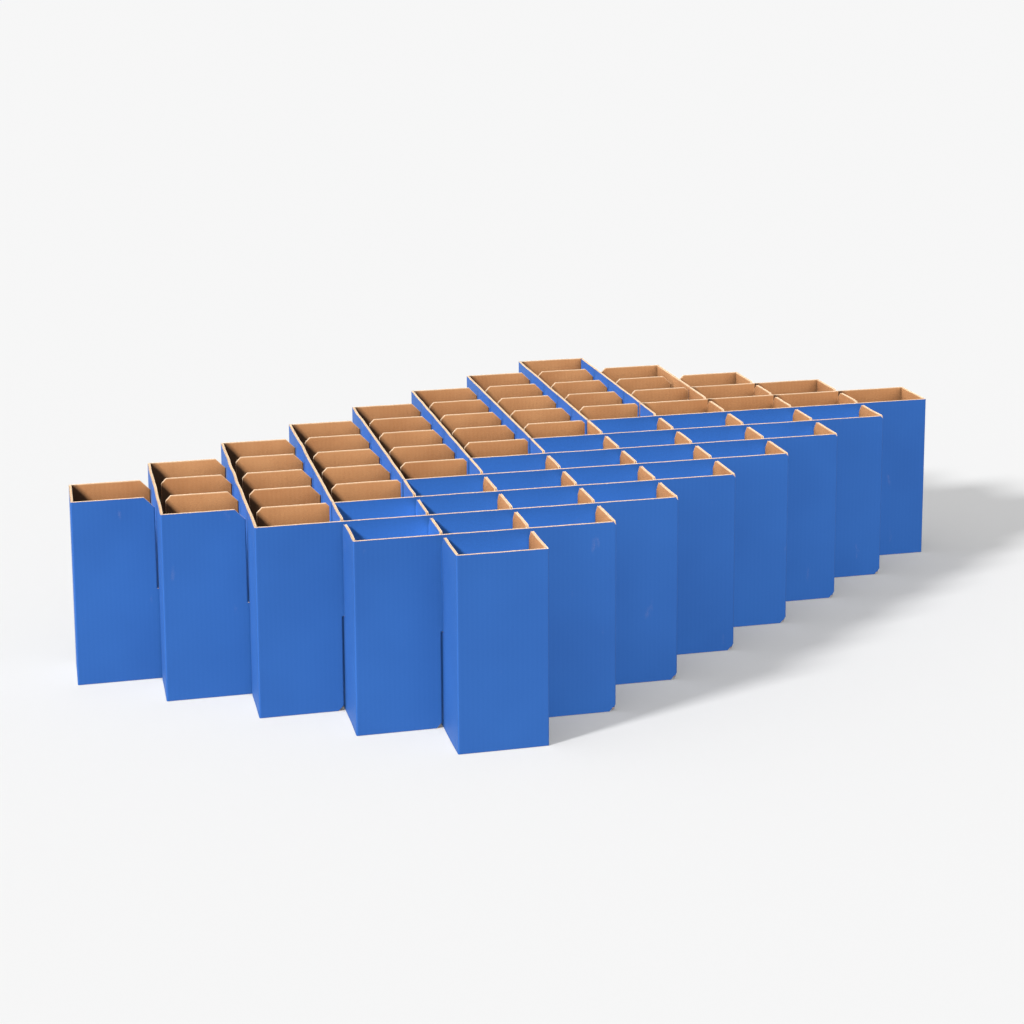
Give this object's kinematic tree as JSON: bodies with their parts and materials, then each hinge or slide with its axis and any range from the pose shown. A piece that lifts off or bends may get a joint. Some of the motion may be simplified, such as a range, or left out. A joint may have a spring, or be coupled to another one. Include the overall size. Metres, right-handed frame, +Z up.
{
  "type": "folding cardboard bed base",
  "caption": "Free-standing bed base of slotted corrugated board loops that shear together like an accordion, from a long open lattice to a short wide bundle.",
  "frame": {"origin": "on the floor under the middle crossing of the lattice, which is the centre of the whole base", "axes": "+Z up; +X along the long diagonal of the base, from the front-most cell to the last cell of the right-hand row; +Y along the short diagonal"},
  "size_m": [1.6342, 0.9056, 0.3],
  "materials": {
    "printed_board": "matte blue printed liner on corrugated board",
    "kraft_board": "bare brown kraft liner on corrugated board"
  },
  "bodies": {
    "line_a00": {"loop1_front": "printed_board"},
    "line_a01": {"loop2_front": "printed_board"},
    "line_a02": {"loop3_front": "printed_board"},
    "line_a03": {"loop2_inner_front": "printed_board", "loop4_front": "printed_board"},
    "line_a04": {"loop1_inner_front": "printed_board", "loop5_front": "printed_board"},
    "line_a05": {"loop1_back": "kraft_board", "loop6_front": "printed_board"},
    "line_a06": {"loop2_back": "kraft_board", "loop7_front": "printed_board"},
    "line_a07": {"loop3_back": "kraft_board", "loop8_front": "printed_board"},
    "line_a08": {"loop4_back": "kraft_board", "loop8_inner_back": "kraft_board"},
    "line_a09": {"loop5_back": "kraft_board", "loop7_inner_back": "kraft_board"},
    "line_a10": {"loop6_back": "kraft_board"},
    "line_a11": {"loop7_back": "kraft_board"},
    "line_a12": {"loop8_back": "kraft_board"},
    "line_b00": {"loop1_left": "printed_board"},
    "line_b01": {"loop2_left": "printed_board"},
    "line_b02": {"loop3_left": "printed_board"},
    "line_b03": {"loop2_inner_left": "printed_board", "loop4_left": "printed_board"},
    "line_b04": {"loop1_inner_left": "printed_board", "loop5_left": "printed_board"},
    "line_b05": {"loop1_right": "kraft_board", "loop6_left": "printed_board"},
    "line_b06": {"loop2_right": "kraft_board", "loop7_left": "printed_board"},
    "line_b07": {"loop3_right": "kraft_board", "loop8_left": "printed_board"},
    "line_b08": {"loop4_right": "kraft_board", "loop8_inner_right": "kraft_board"},
    "line_b09": {"loop5_right": "kraft_board", "loop7_inner_right": "kraft_board"},
    "line_b10": {"loop6_right": "kraft_board"},
    "line_b11": {"loop7_right": "kraft_board"},
    "line_b12": {"loop8_right": "kraft_board"}
  },
  "joints": [
    {"name": "fold", "type": "hinge", "parent": "line_a06", "child": "line_b06", "pos_m": [0, 0, 0], "axis": [0, 0, 1], "range_deg": [-42, 56]},
    {"name": "turn_b01", "type": "hinge", "parent": "line_a06", "child": "line_b01", "pos_m": [-0.50929, 0.45058, 0], "axis": [0, 0, 1], "range_deg": [-42.5, 56.5]},
    {"name": "turn_b02", "type": "hinge", "parent": "line_a06", "child": "line_b02", "pos_m": [-0.40743, 0.36046, 0], "axis": [0, 0, 1], "range_deg": [-42.5, 56.5]},
    {"name": "turn_b03", "type": "hinge", "parent": "line_a06", "child": "line_b03", "pos_m": [-0.30557, 0.27035, 0], "axis": [0, 0, 1], "range_deg": [-42.5, 56.5]},
    {"name": "turn_b04", "type": "hinge", "parent": "line_a06", "child": "line_b04", "pos_m": [-0.20372, 0.18023, 0], "axis": [0, 0, 1], "range_deg": [-42.5, 56.5]},
    {"name": "turn_b05", "type": "hinge", "parent": "line_a06", "child": "line_b05", "pos_m": [-0.10186, 0.09012, 0], "axis": [0, 0, 1], "range_deg": [-42.5, 56.5]},
    {"name": "turn_b07", "type": "hinge", "parent": "line_a06", "child": "line_b07", "pos_m": [0.10186, -0.09012, 0], "axis": [0, 0, 1], "range_deg": [-42.5, 56.5]},
    {"name": "turn_b08", "type": "hinge", "parent": "line_a06", "child": "line_b08", "pos_m": [0.20372, -0.18023, 0], "axis": [0, 0, 1], "range_deg": [-42.5, 56.5]},
    {"name": "turn_b09", "type": "hinge", "parent": "line_a06", "child": "line_b09", "pos_m": [0.30557, -0.27035, 0], "axis": [0, 0, 1], "range_deg": [-42.5, 56.5]},
    {"name": "turn_b10", "type": "hinge", "parent": "line_a06", "child": "line_b10", "pos_m": [0.40743, -0.36046, 0], "axis": [0, 0, 1], "range_deg": [-42.5, 56.5]},
    {"name": "turn_b11", "type": "hinge", "parent": "line_a06", "child": "line_b11", "pos_m": [0.50929, -0.45058, 0], "axis": [0, 0, 1], "range_deg": [-42.5, 56.5]},
    {"name": "turn_a01", "type": "hinge", "parent": "line_b06", "child": "line_a01", "pos_m": [-0.50929, -0.45058, 0], "axis": [0, 0, 1], "range_deg": [-56.5, 42.5]},
    {"name": "turn_a02", "type": "hinge", "parent": "line_b06", "child": "line_a02", "pos_m": [-0.40743, -0.36046, 0], "axis": [0, 0, 1], "range_deg": [-56.5, 42.5]},
    {"name": "turn_a03", "type": "hinge", "parent": "line_b06", "child": "line_a03", "pos_m": [-0.30557, -0.27035, 0], "axis": [0, 0, 1], "range_deg": [-56.5, 42.5]},
    {"name": "turn_a04", "type": "hinge", "parent": "line_b06", "child": "line_a04", "pos_m": [-0.20372, -0.18023, 0], "axis": [0, 0, 1], "range_deg": [-56.5, 42.5]},
    {"name": "turn_a05", "type": "hinge", "parent": "line_b06", "child": "line_a05", "pos_m": [-0.10186, -0.09012, 0], "axis": [0, 0, 1], "range_deg": [-56.5, 42.5]},
    {"name": "turn_a07", "type": "hinge", "parent": "line_b06", "child": "line_a07", "pos_m": [0.10186, 0.09012, 0], "axis": [0, 0, 1], "range_deg": [-56.5, 42.5]},
    {"name": "turn_a08", "type": "hinge", "parent": "line_b06", "child": "line_a08", "pos_m": [0.20372, 0.18023, 0], "axis": [0, 0, 1], "range_deg": [-56.5, 42.5]},
    {"name": "turn_a09", "type": "hinge", "parent": "line_b06", "child": "line_a09", "pos_m": [0.30557, 0.27035, 0], "axis": [0, 0, 1], "range_deg": [-56.5, 42.5]},
    {"name": "turn_a10", "type": "hinge", "parent": "line_b06", "child": "line_a10", "pos_m": [0.40743, 0.36046, 0], "axis": [0, 0, 1], "range_deg": [-56.5, 42.5]},
    {"name": "turn_a11", "type": "hinge", "parent": "line_b06", "child": "line_a11", "pos_m": [0.50929, 0.45058, 0], "axis": [0, 0, 1], "range_deg": [-56.5, 42.5]},
    {"name": "turn_a00", "type": "hinge", "parent": "line_b05", "child": "line_a00", "pos_m": [-0.71301, -0.45058, 0], "axis": [0, 0, 1], "range_deg": [-56.5, 42.5]},
    {"name": "turn_a12", "type": "hinge", "parent": "line_b07", "child": "line_a12", "pos_m": [0.71301, 0.45058, 0], "axis": [0, 0, 1], "range_deg": [-56.5, 42.5]},
    {"name": "turn_b00", "type": "hinge", "parent": "line_a05", "child": "line_b00", "pos_m": [-0.71301, 0.45058, 0], "axis": [0, 0, 1], "range_deg": [-42.5, 56.5]},
    {"name": "turn_b12", "type": "hinge", "parent": "line_a07", "child": "line_b12", "pos_m": [0.71301, -0.45058, 0], "axis": [0, 0, 1], "range_deg": [-42.5, 56.5]}
  ],
  "couplings": [
    {"joint": "turn_b01", "follows": "fold", "ratio": 1},
    {"joint": "turn_b02", "follows": "fold", "ratio": 1},
    {"joint": "turn_b03", "follows": "fold", "ratio": 1},
    {"joint": "turn_b04", "follows": "fold", "ratio": 1},
    {"joint": "turn_b05", "follows": "fold", "ratio": 1},
    {"joint": "turn_b07", "follows": "fold", "ratio": 1},
    {"joint": "turn_b08", "follows": "fold", "ratio": 1},
    {"joint": "turn_b09", "follows": "fold", "ratio": 1},
    {"joint": "turn_b10", "follows": "fold", "ratio": 1},
    {"joint": "turn_b11", "follows": "fold", "ratio": 1},
    {"joint": "turn_a01", "follows": "fold", "ratio": -1},
    {"joint": "turn_a02", "follows": "fold", "ratio": -1},
    {"joint": "turn_a03", "follows": "fold", "ratio": -1},
    {"joint": "turn_a04", "follows": "fold", "ratio": -1},
    {"joint": "turn_a05", "follows": "fold", "ratio": -1},
    {"joint": "turn_a07", "follows": "fold", "ratio": -1},
    {"joint": "turn_a08", "follows": "fold", "ratio": -1},
    {"joint": "turn_a09", "follows": "fold", "ratio": -1},
    {"joint": "turn_a10", "follows": "fold", "ratio": -1},
    {"joint": "turn_a11", "follows": "fold", "ratio": -1},
    {"joint": "turn_a00", "follows": "fold", "ratio": -1},
    {"joint": "turn_a12", "follows": "fold", "ratio": -1},
    {"joint": "turn_b00", "follows": "fold", "ratio": 1},
    {"joint": "turn_b12", "follows": "fold", "ratio": 1}
  ]
}
